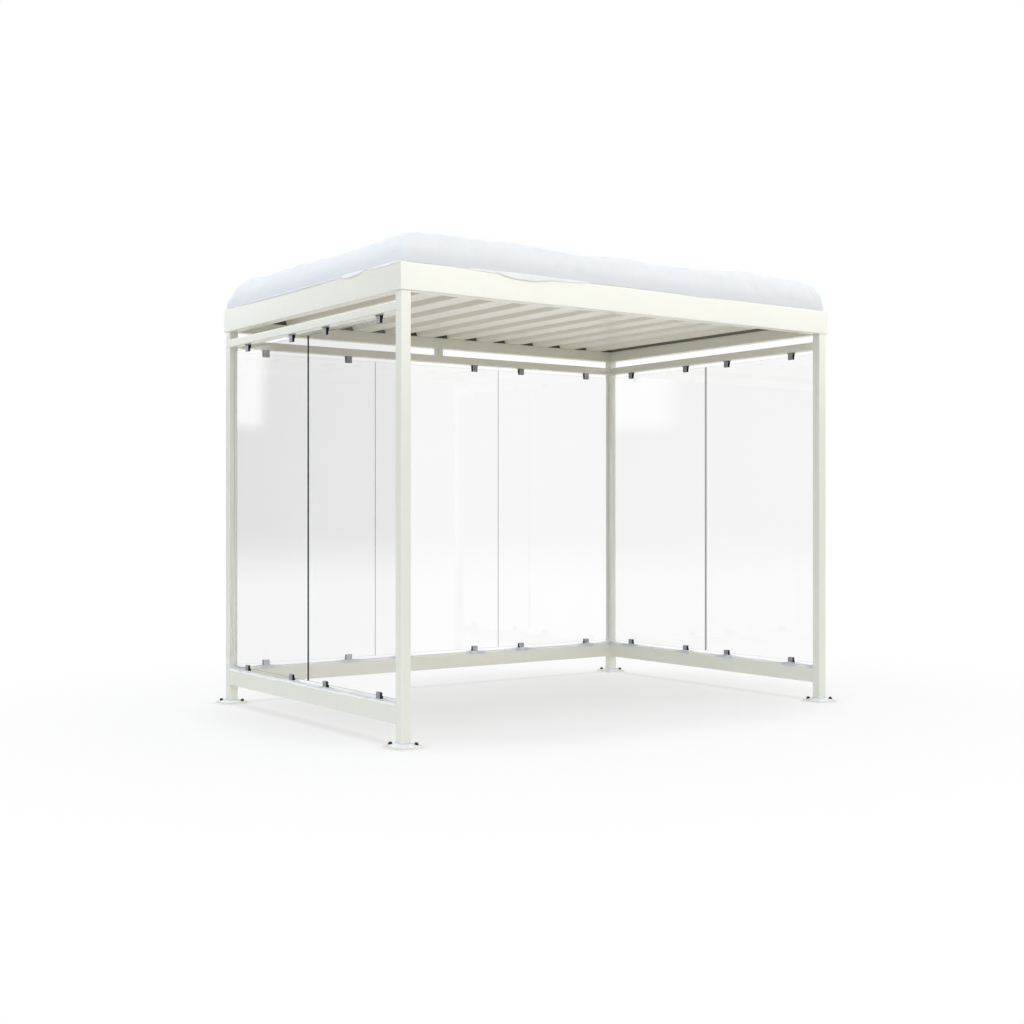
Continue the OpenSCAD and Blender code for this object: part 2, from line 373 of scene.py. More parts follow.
def add_box(bm, low, high, bevel, segments=2, index=0, matrix=None):
    """A box between two corners with bevelled edges. Returns its faces."""
    made = bmesh.ops.create_cube(bm, size=1.0)
    for v in made["verts"]:
        v.co = Vector(a + (c + 0.5) * (b - a) for a, b, c in zip(low, high, v.co))
    faces = {f for v in made["verts"] for f in v.link_faces}
    edges = {e for f in faces for e in f.edges}
    cut = bmesh.ops.bevel(
        bm, geom=list(edges), offset=bevel, segments=segments, profile=0.5, affect="EDGES"
    )
    faces = {f for v in cut["verts"] for f in v.link_faces} | {f for f in faces if f.is_valid}
    for f in faces:
        f.material_index = index
    if matrix is not None:
        bmesh.ops.transform(bm, matrix=matrix, verts=list({v for f in faces for v in f.verts}))
    return faces


def add_grid(bm, rows):
    """Faces between rows of points, each row as long as the next. Returns the vertices."""
    made = [[bm.verts.new(p) for p in row] for row in rows]
    for a, b in zip(made, made[1:]):
        for k in range(len(a) - 1):
            bm.faces.new((a[k], a[k + 1], b[k + 1], b[k]))
    return made


def add_tube(bm, sections, index=0, capped=True):
    """Faces round and between closed sections, with a cap on both ends. Returns the vertices."""
    made = [[bm.verts.new(p) for p in section] for section in sections]
    faces = []
    for a, b in zip(made, made[1:]):
        for k in range(len(a)):
            n = (k + 1) % len(a)
            faces.append(bm.faces.new((a[k], a[n], b[n], b[k])))
    if capped:
        faces += [bm.faces.new(made[0][::-1]), bm.faces.new(made[-1])]
    for f in faces:
        f.material_index = index
    return made


def add_lathe(bm, profile, sides, place):
    """Turns (radius, height) points about a vertical axis at place, closed at both ends."""
    turns = [2 * math.pi * k / sides for k in range(sides)]
    add_tube(
        bm,
        [
            [place + Vector((radius * math.cos(a), radius * math.sin(a), height)) for a in turns]
            for radius, height in profile
        ],
    )


def tidy_faces(bm):
    """Cuts large faces into triangles and turns all faces outward."""
    bmesh.ops.triangulate(bm, faces=[f for f in bm.faces if len(f.verts) > 4])
    bmesh.ops.recalc_face_normals(bm, faces=list(bm.faces))


def wobble(x, y, z, scale, seed=0.0):
    """Smooth noise from about -1 to 1 that repeats each run."""
    return noise.noise(Vector((x * scale + seed, y * scale - seed, z * scale + 2 * seed)))


def smooth(t):
    """A soft step from 0 to 1 as t goes from 0 to 1."""
    t = min(1.0, max(0.0, t))
    return t * t * (3 - 2 * t)


def along(points, x):
    """The height at x of a smooth line through (x, height) points."""
    if x <= points[0][0]:
        return points[0][1]
    for (x0, h0), (x1, h1) in zip(points, points[1:]):
        if x <= x1:
            return h0 + (h1 - h0) * smooth((x - x0) / (x1 - x0))
    return points[-1][1]


# ---------------------------------------------------------------- painted steel
PAINTED = ("base_plate", "post", "bottom_rail", "top_rail", "rail_hanger")
for name, node in nodes.items():
    if name.startswith(PAINTED) or name == "roof_sheet":
        node.data.materials.clear()
        node.data.materials.append(PAINT if name.startswith(PAINTED) else SHEET_LIT_PAINT)

for name in FEET:
    plate = nodes["base_plate_" + name]
    weld = plate.modifiers.new("join", "WELD")
    weld.merge_threshold = 0.0001
    soft = plate.modifiers.new("soft_edges", "BEVEL")
    soft.width = 0.0012
    soft.segments = 2
    soft.limit_method = "ANGLE"
    soft.angle_limit = math.radians(40)


# ---------------------------------------------------------------- folded fascia
FASCIA_Z = EAVES_LO.z
FASCIA_H = EAVES_HI.z - EAVES_LO.z
FASCIA_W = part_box("fascia_front")[1].y - EAVES_LO.y
FOLD_T = 0.003  # thickness of the sheet
FOLD_R = 0.0035  # radius of a fold at the middle of the sheet
FOLD_STEPS = 5  # flats in a fold
LIP_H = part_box("roof_sheet")[0].z - FASCIA_Z  # height of the inner lip
SEAT_W = 0.040  # width of the seat for the roof sheet
TOP_RETURN = 0.020  # how far the top is folded in


def folded_section():
    """Outline of the fascia's folded sheet: (distance in from the face, height) points."""
    near, far = FOLD_T / 2, FASCIA_W - FOLD_T / 2
    seat = LIP_H - FOLD_T / 2
    path = [
        Vector((FASCIA_W - SEAT_W, seat)),
        Vector((far, seat)),
        Vector((far, near)),
        Vector((near, near)),
        Vector((near, FASCIA_H - near)),
        Vector((TOP_RETURN, FASCIA_H - near)),
    ]
    middle = [(path[0], (path[1] - path[0]).normalized())]
    for a, b, c in zip(path, path[1:], path[2:]):
        into, out = (b - a).normalized(), (c - b).normalized()
        start = b - into * FOLD_R
        centre = start + out * FOLD_R
        for k in range(FOLD_STEPS + 1):
            turn = math.pi / 2 * k / FOLD_STEPS
            way = into * math.cos(turn) + out * math.sin(turn)
            middle.append((centre + FOLD_R * (into * math.sin(turn) - out * math.cos(turn)), way))
    middle.append((path[-1], (path[-1] - path[-2]).normalized()))
    left = [at + Vector((-way.y, way.x)) * FOLD_T / 2 for at, way in middle]
    right = [at - Vector((-way.y, way.x)) * FOLD_T / 2 for at, way in middle]
    return left + right[::-1]


def make_fascia_side(name, turn, half_length, offset):
    """One side of the fascia, mitred at both ends; its face is at y = -offset before the turn."""
    bm = bmesh.new()
    matrix = Matrix.Rotation(math.radians(turn), 4, "Z")
    ends = []
    for end in (-1, 1):
        places = ((end * (half_length - d), d - offset, FASCIA_Z + h) for d, h in folded_section())
        ends.append([matrix @ Vector(place) for place in places])
    add_tube(bm, ends)
    tidy_faces(bm)
    piece(f"fascia_fold_{name}", bm, (PAINT,), (f"fascia_{name}",), 40, True)


make_fascia_side("front", 0, EAVES_X, EAVES_Y)
make_fascia_side("right", 90, EAVES_Y, EAVES_X)
make_fascia_side("back", 180, EAVES_X, EAVES_Y)
make_fascia_side("left", -90, EAVES_Y, EAVES_X)


# ---------------------------------------------------------------- foam closures in the ribs
SHADE_STRIP_OUT, SHADE_STRIP_IN = 0.002, 0.004  # how far a dark side strip of painted shade shows, and how far it goes in
SHADE_STRIP_GAP = 0.0034  # from a dark side strip's top to the roof sheet


def rib_section():
    """The roof sheet's underside, (x, z) points from left to right, read from the CAD node."""
    co = [v.co for v in nodes["roof_sheet"].data.vertices]
    front = min(c.y for c in co)
    found = {}
    for c in co:
        if c.y < front + 0.001:
            x = round(c.x, 4)
            found[x] = min(c.z, found.get(x, c.z))
    return sorted(found.items())


def make_closures():
    """Dark foam that fills the ends of the ribs above the beams, and dark strips along the side
    beams that paint the shade of the gap beside them.
    """
    seat_z = FASCIA_Z + LIP_H
    inner_x, inner_y = EAVES_X - FASCIA_W, EAVES_Y - FASCIA_W
    deep = 0.020  # how far a closure goes in
    slack = 0.0004  # air round a closure
    bm = bmesh.new()
    line = rib_section()
    for a, b, c, d in zip(line, line[1:], line[2:], line[3:]):
        if min(b[1], c[1]) < seat_z + 0.01:  # not the top of a rib
            continue
        outline = [(a[0], seat_z), (b[0], b[1] - slack), (c[0], c[1] - slack), (d[0], seat_z)]
        for side in (-1, 1):
            ends = (side * (inner_y + slack), side * (inner_y + deep))
            add_tube(bm, [[(x, y, z) for x, z in outline] for y in ends])
    # Dark strips along both side beams: painted shade for the gap under the roof sheet
    top = max(z for _, z in line) - SHADE_STRIP_GAP
    for side in (-1, 1):
        x0, x1 = sorted((side * (inner_x - SHADE_STRIP_OUT), side * (inner_x + SHADE_STRIP_IN)))
        add_box(bm, (x0, -inner_y, seat_z), (x1, inner_y, top), 0.0008, index=1)
    bmesh.ops.recalc_face_normals(bm, faces=list(bm.faces))
    piece("rib_closures", bm, (FOAM, SIDE_SHADE_STRIP))


make_closures()


# ---------------------------------------------------------------- glass
def make_pane(node):
    """A pane with ground arrises in place of its CAD node.

    The edges at the joint of a side wall get a near-black painted shade, and so do a left pane's
    level ones. A side pane's edges beside the posts stay clear.
    """
    low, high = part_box(node)
    size = high - low
    thin = min(range(3), key=lambda k: size[k])
    clear, edge, dark_edge = range(3)
    bm = bmesh.new()
    add_box(bm, low, high, bevel=0.0009, segments=1)
    bm.normal_update()
    for f in bm.faces:
        f.material_index = clear
        if abs(f.normal[thin]) > 0.9:  # one of the two broad faces
            continue
        if abs(f.normal.z) > 0.5:
            f.material_index = dark_edge if node.startswith("glass_left") else edge
        elif thin == 1:
            f.material_index = edge
        elif abs(f.calc_center_median().y) < POST:  # at the joint
            f.material_index = dark_edge
    materials = (GLASS, EDGE, DARK_EDGE)
    piece(node.replace("glass", "pane"), bm, materials, (node,), sharp=20)


for name in nodes:
    if name.startswith("glass_"):
        make_pane(name)


# ---------------------------------------------------------------- glass clamps
CLAMP_L, CLAMP_W, CLAMP_H = 0.044, 0.020, 0.045  # along the rail, across it, and up
CLAMP_FOOT = 0.004  # thickness of the foot, and how far it stands out all round
CLAMP_JAW = 0.0038  # thickness of a jaw
CLAMP_SLOT_Z = GLASS_LO.z - RAIL_TOP
JAW_Z = 0.6 * CLAMP_FOOT  # the jaws and the rubber go a little into the foot
RUBBER_OUT = 0.0020  # how far the rubber stands out of a jaw's ends
SCREW_H = 0.66 * CLAMP_H


def add_clamp(bm, matrix):
    """A clamp on z = 0, its rail along X: two steel jaws, a foot, screws and rubber."""
    steel, rubber = range(2)
    half_l, half_w = CLAMP_L / 2, CLAMP_W / 2
    add_box(
        bm,
        (-half_l - CLAMP_FOOT, -half_w - CLAMP_FOOT, 0),
        (half_l + CLAMP_FOOT, half_w + CLAMP_FOOT, CLAMP_FOOT),
        0.0008,
        index=steel,
        matrix=matrix,
    )
    rail_way = matrix.to_3x3() @ Vector((1, 0, 0))
    for side in (-1, 1):
        outer, inner = side * half_w, side * (half_w - CLAMP_JAW)
        jaw = add_box(
            bm,
            (-half_l, min(outer, inner), JAW_Z),
            (half_l, max(outer, inner), CLAMP_H),
            0.0012,
            index=steel,
            matrix=matrix,
        )
        for f in jaw:  # the rubber wraps round the ends of the jaw
            f.normal_update()
            if abs(f.normal.dot(rail_way)) > 0.35:
                f.material_index = rubber
        # Rubber from the jaw to the glass, a little past the jaw's ends
        pane = side * (GLASS_T / 2 + 0.0001)
        add_box(
            bm,
            (-half_l - RUBBER_OUT, min(inner, pane), JAW_Z),
            (half_l + RUBBER_OUT, max(inner, pane), CLAMP_H - 0.0008),
            0.0004,
            segments=1,
            index=rubber,
            matrix=matrix,
        )
        # A screw's head in the middle of the jaw, and its dark six-sided socket
        face = Matrix.Translation((0, outer, SCREW_H)) @ Matrix.Rotation(
            -side * math.pi / 2, 4, "X"
        )
        for radius, height, sides, index in (
            (0.0050, 0.0010, 20, steel),
            (0.0022, 0.0011, 6, rubber),
        ):
            made = bmesh.ops.create_cone(
                bm,
                cap_ends=True,
                segments=sides,
                radius1=radius,
                radius2=radius * 0.86,
                depth=height,
                matrix=matrix @ face @ Matrix.Translation((0, 0, height / 2)),
            )
            for f in {f for v in made["verts"] for f in v.link_faces}:
                f.material_index = index
    # The rubber block that the pane stands on
    add_box(
        bm,
        (-half_l + 0.0008, -GLASS_T / 2, JAW_Z),
        (half_l - 0.0008, GLASS_T / 2, CLAMP_SLOT_Z - 0.0002),
        0.0004,
        segments=1,
        index=rubber,
        matrix=matrix,
    )


def clamp_centres(wall, level):
    """Where a wall's clamps stand, along the wall, read from the CAD node."""
    co = [v.co for v in nodes[f"clamps_{wall}_{level}"].data.vertices]
    inverse = wall_matrix(wall).inverted()
    xs = sorted((inverse @ c).x for c in co)
    groups = [[xs[0]]]
    for x in xs[1:]:
        if x - groups[-1][-1] > 2 * CLAMP_L:
            groups.append([])
        groups[-1].append(x)
    return [(g[0] + g[-1]) / 2 for g in groups]


for wall in WALLS:
    for level in ("bottom", "top"):
        bm = bmesh.new()
        for x in clamp_centres(wall, level):
            up = Matrix.Translation((x, 0, RAIL_TOP))
            if level == "top":
                up = Matrix.Translation((x, 0, TOP_RAIL_Z)) @ Matrix.Rotation(math.pi, 4, "X")
            add_clamp(bm, wall_matrix(wall) @ up)
        node = f"clamps_{wall}_{level}"
        piece(f"clamp_set_{wall}_{level}", bm, (METAL, RUBBER), (node,), flats=True)


# ---------------------------------------------------------------- anchor nuts
ANCHOR_OUT = 0.05  # from the post's middle to an anchor, along X and along Y
WASHER_T = 0.0025


def add_anchor(bm, place):
    """A washer and a hexagon nut under its domed cap on top of a base plate."""
    add_lathe(bm, [(0.0145, 0), (0.0145, 0.002), (0.0138, WASHER_T)], 32, place)
    nut = place + Vector((0, 0, WASHER_T))
    add_lathe(bm, [(0.0122, 0), (0.0130, 0.0008), (0.0130, 0.0050), (0.0120, 0.0058)], 6, nut)
    dome = [(0.0116, 0.0055)]
    for k in range(8):
        a = math.radians(4 + 11.5 * k)
        dome.append((0.0114 * math.cos(a), 0.0058 + 0.0098 * math.sin(a)))
    add_lathe(bm, dome, 28, nut)


for name, foot in FEET.items():
    bm = bmesh.new()
    for end in (-1, 1):
        add_anchor(bm, foot + Vector((end * ANCHOR_OUT, -end * ANCHOR_OUT, 0)))
    piece(f"anchor_nuts_{name}", bm, (CAPS,), sharp=30)


# ---------------------------------------------------------------- weld beads
BEAD_R = 0.0028  # radius of a bead
BEAD_STEP = 0.0035  # length of a ripple
BEAD_SHORT = 0.0045  # how far from a tube's corners the beads stop
FILL_SUNK = 0.0002  # how far a filling beside a corner stays behind the rail's face


def add_bead(bm, start, end):
    """A rippled bead of weld from start to end."""
    run = end - start
    count = max(2, int(run.length / BEAD_STEP))
    forward = run.normalized()
    side = forward.orthogonal().normalized()
    up = forward.cross(side)
    turns = [math.pi * k / 3 for k in range(6)]
    rings = []
    for k in range(count + 1):
        swell = 0.82 + 0.18 * math.cos(math.pi * k) + 0.08 * wobble(*(start + run * k / count), 90)
        end_taper = 0.55 if k in (0, count) else 1.0
        r = BEAD_R * swell * end_taper
        centre = start + run * (k / count)
        rings.append([centre + r * (math.cos(a) * side + math.sin(a) * up) for a in turns])
    add_tube(bm, rings)


def add_bead_loop(bm, matrix, half_a, half_b, laid):
    """Beads round a rectangular tube's end, in the XY plane of matrix, none of them twice.

    The middles of the beads laid so far are in laid.
    """
    short_a, short_b = half_a - BEAD_SHORT, half_b - BEAD_SHORT
    for sign in (-1, 1):
        for ends in (
            ((-short_a, sign * half_b, 0), (short_a, sign * half_b, 0)),
            ((sign * half_a, -short_b, 0), (sign * half_a, short_b, 0)),
        ):
            start, end = (matrix @ Vector(p) for p in ends)
            middle = (start + end) / 2
            if all((middle - other).length > TUBE_R for other in laid):
                add_bead(bm, start, end)
                laid.append(middle)


bm = bmesh.new()
for foot in FEET.values():
    add_bead_loop(bm, Matrix.Translation(foot), POST / 2, POST / 2, [])
piece("foot_welds", bm, (PAINT,), sharp=60)

bm = bmesh.new()
laid = []
for wall, (_, _, clear) in WALLS.items():
    for node in (f"bottom_rail_{wall}", f"top_rail_{wall}"):
        low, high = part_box(node)
        middle, half = (low.z + high.z) / 2, (high.z - low.z) / 2
        # Weld metal that fills the hollow beside each rounded corner of the post. Two walls share
        # the inner corners, and their fillings differ in height so that no edges coincide.
        inset = 0.0010 if wall == "back" else 0.0014
        for end in (-1, 1):
            for face in (-1, 1):
                x0, x1 = sorted((end * clear / 2, end * (clear / 2 + TUBE_R)))
                y0, y1 = sorted((face * (POST / 2 - TUBE_R), face * (POST / 2 - FILL_SUNK)))
                add_box(
                    bm,
                    (x0, y0, low.z + inset),
                    (x1, y1, high.z - inset),
                    0.002,
                    matrix=wall_matrix(wall),
                )
        for end in (-1, 1):
            at = wall_matrix(wall) @ Matrix.Translation((end * clear / 2, 0, middle))
            add_bead_loop(bm, at @ Matrix.Rotation(math.pi / 2, 4, "Y"), half, POST / 2, laid)
piece("rail_welds", bm, (PAINT,), sharp=60)


# ---------------------------------------------------------------- snow on the roof
SNOW_R = 0.12  # how far in from its edge the snow's side rounds over
SNOW_LEFT_R = 0.18  # the same along the left side
SNOW_BACK_R = 0.24  # and along the back
SNOW_CORNER = 0.050  # radius of the snow's corners in plan
SNOW_EDGE = 0.0015  # how far the snow's foot is in from the face of the fascia
SNOW_FOOT_Z = EAVES_HI.z + 0.0005
SNOW_INSET = 0.024  # how far in from its foot the snow goes down inside the fascia
SNOW_BULGE = 2.35  # how full the rounding is; 2 would be an ellipse
SNOW_STEP, ROUND_STEPS = 0.028, 14  # size of the mesh on top, and steps in the rounding
LIP_STEPS = 44
RIM_REACH = 0.75  # how far in the outlines of the front and the left side still count
# Height of the snow above the fascia, along X near the front and along Y near the left side
SNOW_FRONT = (
    (-1.62, 0.185),
    (-1.35, 0.183),
    (-0.82, 0.192),
    (-0.35, 0.173),
    (-0.05, 0.193),
    (0.25, 0.177),
    (0.52, 0.182),
    (1.04, 0.211),
    (1.30, 0.196),
    (1.62, 0.190),
)
SNOW_LEFT = (
    (-1.10, 0.187),
    (-0.60, 0.182),
    (-0.20, 0.178),
    (0.22, 0.187),
    (0.60, 0.188),
    (1.00, 0.200),
)
# Snow that hangs over the fascia: (middle, half length, drop, material)
LIPS_FRONT = (
    (-0.81, 0.22, 0.032, CRUST),
    (-1.00, 0.20, 0.010, CRUST),
    (-0.60, 0.24, 0.012, CRUST),
    (0.50, 0.16, 0.006, SNOW),
)
LIPS_LEFT = (
    (-0.585, 0.125, 0.019, CRUST),
    (-0.93, 0.17, 0.008, CRUST),
    (0.20, 0.78, 0.010, SNOW),
)


def snow_height(x, y):
    """Height of the snow's top above the fascia at a place on the roof."""
    front, left = along(SNOW_FRONT, x), along(SNOW_LEFT, y)
    own = 0.185 + 0.014 * wobble(x, y, 0, 1.6, 5) + 0.006 * wobble(x, y, 0, 4.3, 9)
    by_front = smooth((-y - EAVES_Y + RIM_REACH) / 0.5)
    by_left = smooth((-x - EAVES_X + RIM_REACH) / 0.5)
    share = max(by_front, by_left)
    near = (front * by_front + left * by_left) / max(by_front + by_left, 1e-6)
    return own + (near - own) * share


def side_profile(d, r):
    """Share of the full height at distance d in from the foot of the snow."""
    t = min(1.0, max(0.0, 1 - d / r))
    return (1 - t**SNOW_BULGE) ** (1 / SNOW_BULGE)


def edge_steps(half):
    """Distances in from one side, close together where the side rounds over."""
    turns = [math.pi / 2 * k / ROUND_STEPS for k in range(ROUND_STEPS + 1)]
    steps = [SNOW_R * (1 - math.cos(a)) for a in turns]
    inner = half - SNOW_R
    count = round(inner / SNOW_STEP)
    return steps + [SNOW_R + inner * k / count for k in range(1, count + 1)]


def make_roof_snow():
    """The roof's snow: a mound with soft sides and a flat underside that lies on the ribs."""
    half_x, half_y = EAVES_X - SNOW_EDGE, EAVES_Y - SNOW_EDGE
    xs = [(-half_x + d) for d in edge_steps(half_x)]
    xs += [-x for x in reversed(xs[:-1])]
    ys = [(-half_y + d) for d in edge_steps(half_y)]
    ys += [-y for y in reversed(ys[:-1])]
    rows = []
    for y in ys:
        row = []
        dy = half_y - abs(y)
        for x in xs:
            dx = half_x - abs(x)
            px, py = x, y
            if dx < SNOW_CORNER and dy < SNOW_CORNER:
                u, v = 1 - dx / SNOW_CORNER, 1 - dy / SNOW_CORNER
                px = math.copysign(
                    half_x - SNOW_CORNER + SNOW_CORNER * u * math.sqrt(1 - v * v / 2), x
                )
                py = math.copysign(
                    half_y - SNOW_CORNER + SNOW_CORNER * v * math.sqrt(1 - u * u / 2), y
                )
            rise = side_profile(dx, SNOW_LEFT_R if x < 0 else SNOW_R)
            rise *= side_profile(dy, SNOW_BACK_R if y > 0 else SNOW_R)
            row.append(Vector((px, py, SNOW_FOOT_Z + snow_height(px, py) * rise)))
        rows.append(row)
    bm = bmesh.new()
    made = add_grid(bm, rows)
    bm.normal_update()
    # Soft dents and slanting ripples, fading out at the foot
    for v in list(bm.verts):
        up = v.co.z - EAVES_HI.z
        slant = Vector((v.co.x + 0.9 * v.co.z, v.co.y + 0.9 * v.co.z, v.co.z * 1.6))
        push = 0.0065 * wobble(*slant, 4.2, 3) + 0.0032 * wobble(*slant, 11.0, 7)
        push += 0.0012 * wobble(*v.co, 34.0, 1)
        v.co += v.normal * push * smooth(up / 0.05)
        v.co += v.normal * 0.0022 * wobble(*v.co, 6.0, 8) * (1 - smooth(up / 0.05))
    # Flat underside inside the rim of the fascia, down to the ribs
    rim = made[0] + [r[-1] for r in made[1:]]
    rim += made[-1][-2::-1] + [r[0] for r in reversed(made[1:-1])]
    loops = [rim]
    for z in (SNOW_FOOT_Z, SNOW_FLOOR):
        ring = []
        for v in rim:
            x = math.copysign(min(abs(v.co.x), half_x - SNOW_INSET), v.co.x)
            y = math.copysign(min(abs(v.co.y), half_y - SNOW_INSET), v.co.y)
            ring.append(bm.verts.new((x, y, z)))
        loops.append(ring)
    for a, b in zip(loops, loops[1:]):
        for k in range(len(rim)):
            n = (k + 1) % len(rim)
            bm.faces.new((a[k], b[k], b[n], a[n]))
    bm.faces.new(loops[-1])
    bmesh.ops.remove_doubles(bm, verts=list(bm.verts), dist=0.00005)
    tidy_faces(bm)
    piece("roof_snow_mound", bm, (SNOW,), ("roof_snow",), sharp=70)


make_roof_snow()


def add_lip(bm, matrix, middle, half, drop, index):
    """Snow that hangs over the fascia, along X of matrix, its face towards -Y."""
    # Outline from the top down: (share of the reach, share of the rise, share of the drop)
    outline = (
        (0.00, 1.0, 0.0),
        (0.40, 0.75, 0.0),
        (0.66, 0.0, 0.05),
        (0.86, 0.0, 0.36),
        (1.00, 0.0, 0.68),
        (0.98, 0.0, 0.84),
        (0.80, 0.0, 0.96),
        (0.45, 0.0, 1.00),
    )
    rows = []
    for k in range(LIP_STEPS + 1):
        t = -1 + 2 * k / LIP_STEPS
        x = middle + half * t
        share = (1 - t * t) ** 0.8 * (1 + 0.25 * wobble(x, 0, 0, 14, 4))
        fall = max(0.0004, drop * share)
        out = 0.0008 + min(0.010, fall * 0.5)
        row = [matrix @ Vector((x, 0.020, EAVES_HI.z + 0.001))]
        for reach, rise, down in outline:
            z = EAVES_HI.z + (0.004 + 0.35 * out) * rise - fall * down
            row.append(matrix @ Vector((x, -out * reach, z)))
        row.append(matrix @ Vector((x, 0.001, EAVES_HI.z - fall * 0.98)))
        rows.append(row)
    add_tube(bm, rows, index)


bm = bmesh.new()
for middle, half, drop, snow in LIPS_FRONT:
    add_lip(bm, Matrix.Translation((0, -EAVES_Y, 0)), middle, half, drop, int(snow is CRUST))
left_face = Matrix.Translation((-EAVES_X, 0, 0)) @ Matrix.Rotation(-math.pi / 2, 4, "Z")
for middle, half, drop, snow in LIPS_LEFT:
    add_lip(bm, left_face, -middle, half, drop, int(snow is CRUST))
tidy_faces(bm)
piece("roof_snow_lips", bm, (SNOW, CRUST), sharp=70)


# ---------------------------------------------------------------- snow on the rails and feet
RAIL_SNOW = {  # wall: (seed, height and reach of the mound at a clamp, share of wind-blown heaps)
    "left": (11.0, 0.006, 0.045, 0.0),
    "back": (23.0, 0.007, 0.065, 0.8),
    "right": (37.0, 0.007, 0.065, 0.8),
}
RAIL_SNOW_STEP, RAIL_SNOW_ACROSS = 0.007, 18  # length of a strip, and strips across the rail
FOOT_SNOW_SIDES, FOOT_SNOW_RINGS = 64, 12
CRUST_SUNK = 0.0012  # how far a rail's crust goes down into the rail


def over_rail(path):
    """A place on a rail's outside, at a distance from the middle of its top: (y, z, normal)."""
    flat = POST / 2 - TUBE_R
    side, path = math.copysign(1, path), abs(path)
    if path <= flat:
        return side * path, 0.0, Vector((0, 0, 1))
    turn = min(math.pi / 2, (path - flat) / TUBE_R)
    down = max(0.0, path - flat - TUBE_R * math.pi / 2)
    way = Vector((0, side * math.sin(turn), math.cos(turn)))
    return side * (flat + TUBE_R * math.sin(turn)), TUBE_R * (math.cos(turn) - 1) - down, way


def add_crust(bm, tops, lows, pile_shades, capped=True):
    """Snow between two grids of points; its vertices also hold how much painted shade it gets where
    heaped.
    """
    layer = bm.verts.layers.float.new(PILE_SHADE_ATTR)
    sections = [top + low[::-1] for top, low in zip(tops, lows)]
    for section, values in zip(add_tube(bm, sections, capped=capped), pile_shades):
        for v, value in zip(section, values + values[::-1]):
            v[layer] = value


def snow_along_rail(wall, centres, s):
    """How thick the snow lies at a place along a bottom rail, and how much it is heaped, which sets
    how far it drapes over the inner edge and how much painted shade it gets.
    """
    seed, mound, mound_r, wind = RAIL_SNOW[wall]
    drift = smooth(1.8 * wobble(s, 0, 0, 2.6, seed + 9) - 0.2)
    body = 0.0030 + 0.0014 * wobble(s, 0, 0, 6.0, seed) + 0.0007 * wobble(s, 0, 0, 24.0, seed)
    body += 0.0020 * drift
    heap = wind * drift
    for c in centres:
        away = abs(s - c)
        body += mound * math.exp(-((away / mound_r) ** 2)) + 0.0024 * math.exp(-away / 0.060)
        heap = max(heap, math.exp(-((away / (mound_r + 0.030)) ** 4)))
    from_post = WALLS[wall][2] / 2 - abs(s)
    body += 0.0110 * math.exp(-from_post / 0.042)
    return body, max(heap, math.exp(-((from_post / 0.065) ** 2)))


def make_rail_snow(wall):
    """A thin crust of snow along a bottom rail, piled up at the clamps and the posts."""
    seed = RAIL_SNOW[wall][0]
    centres = clamp_centres(wall, "bottom")
    matrix = wall_matrix(wall)
    out_way = 1 if wall == "back" else -math.copysign(1, WALLS[wall][1].x)
    length = WALLS[wall][2] + 2 * TUBE_R  # on into the hollow beside the posts' rounded corners
    steps = round(length / RAIL_SNOW_STEP)
    tops, lows, pile_shades = [], [], []
    for k in range(steps + 1):
        s = length * (k / steps - 0.5)
        body, heap = snow_along_rail(wall, centres, s)
        top, low, pile_shade = [], [], []
        for j in range(RAIL_SNOW_ACROSS + 1):
            t = -1 + 2 * j / RAIL_SNOW_ACROSS
            outer = t * out_way > 0
            # How far the crust comes over this edge of the rail
            edge = wobble(s, 3.0 * math.copysign(1, t), 0, 7.5, seed + 3)
            edge += 0.45 * wobble(s, 3.0 * math.copysign(1, t), 0, 31.0, seed + 6)
            if outer:
                reach = POST / 2 + 0.0030 + 0.0075 * max(-0.6, edge)
            else:
                reach = POST / 2 - 0.0005 + 0.0030 * max(-1.0, edge) + 0.0090 * heap
            u = math.copysign(abs(t) ** 0.8, t)
            y, z, way = over_rail(u * reach)
            thick = body * (1 - abs(u) ** (10 if outer else 4)) ** 0.5
            thick *= 1 + 0.22 * wobble(s, y, 0, 30.0, seed)
            on_side = smooth((abs(u) * reach - POST / 2 + TUBE_R) / TUBE_R)
            thick = min(thick, 0.0055) * on_side + thick * (1 - on_side)
            thick += 0.0004 - 0.0010 * abs(u) ** 12  # the rim dips into the rail
            at = Vector((s, y, RAIL_TOP + z))
            top.append(matrix @ (at + way * thick))
            low.append(matrix @ (at - way * CRUST_SUNK))
            # Painted bluish shade on heaped snow, for the shade on the heaps' slopes
            patch = 0.5 + 0.5 * wobble(s, 2.5 * y, 0, 26.0, seed + 4)
            shade = heap * (0.3 + 1.2 * patch) * smooth(abs(u) * 1.6 - 0.2)
            if outer:  # no painted shade on the outer edge
                shade *= 1 - smooth((abs(u) - 0.72) / 0.16)
            pile_shade.append(min(1.0, shade))
        tops.append(top)
        lows.append(low)
        pile_shades.append(pile_shade)
    bm = bmesh.new()
    add_crust(bm, tops, lows, pile_shades)
    tidy_faces(bm)
    return bm


for wall in WALLS:
    piece(f"rail_snow_{wall}", make_rail_snow(wall), (CRUST,), sharp=80)


